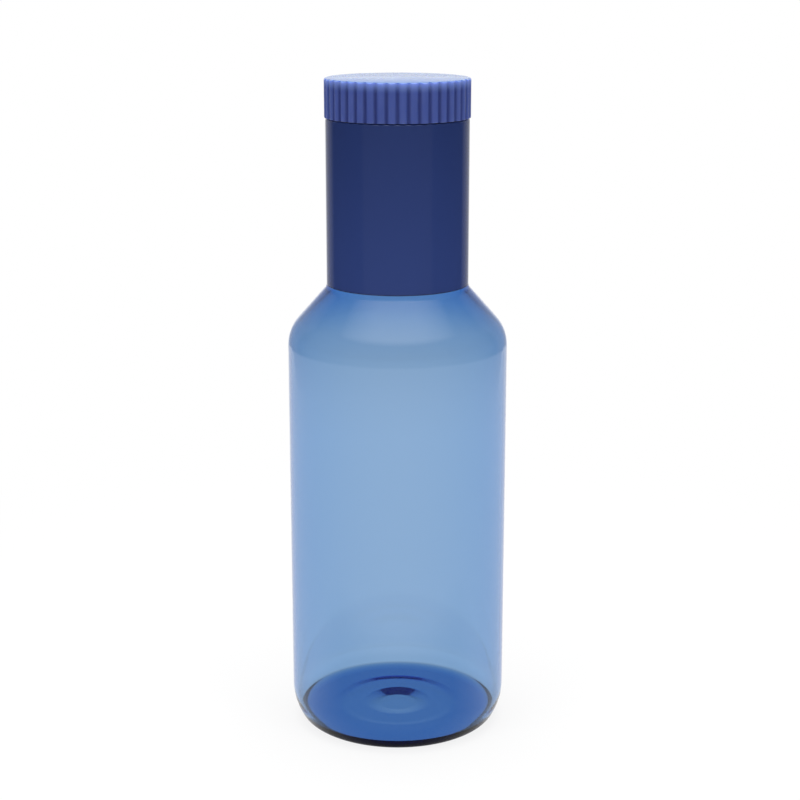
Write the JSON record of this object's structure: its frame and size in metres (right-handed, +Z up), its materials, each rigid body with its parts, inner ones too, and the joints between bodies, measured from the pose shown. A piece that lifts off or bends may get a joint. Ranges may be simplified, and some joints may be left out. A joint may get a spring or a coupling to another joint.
{
  "type": "stoppered carafe",
  "caption": "Tinted glass carafe with a straight opaque neck and a finely ribbed cap on a push-in sealed plug, for keeping and pouring drinks.",
  "frame": {"origin": "centre of the standing ring, on the surface that the carafe stands on", "axes": "+Z up along the carafe's axis; X and Y are free because the carafe is round"},
  "size_m": [0.092, 0.092, 0.2771],
  "materials": {
    "tinted_glass": "clear blue glass, polished",
    "opaque_glass": "opaque dark blue glass, polished",
    "cap_plastic": "satin moulded plastic, slightly translucent",
    "plug_plastic": "satin moulded plastic",
    "seal_rubber": "dark blue silicone"
  },
  "bodies": {
    "bottle": {"glass_body": "tinted_glass", "neck_tube": "opaque_glass"},
    "seal": {"plug_gasket": "seal_rubber"},
    "stopper": {"cap_shell": "cap_plastic", "plug_insert": "plug_plastic", "rim_gasket": "seal_rubber"}
  },
  "joints": [
    {"name": "stopper_lift", "type": "slide", "parent": "bottle", "child": "seal", "axis": [0, 0, 1], "range_m": [0, 0.03]},
    {"name": "stopper_twist", "type": "hinge", "parent": "seal", "child": "stopper", "pos_m": [0, 0, 0.25], "axis": [0, 0, 1], "continuous": true}
  ]
}
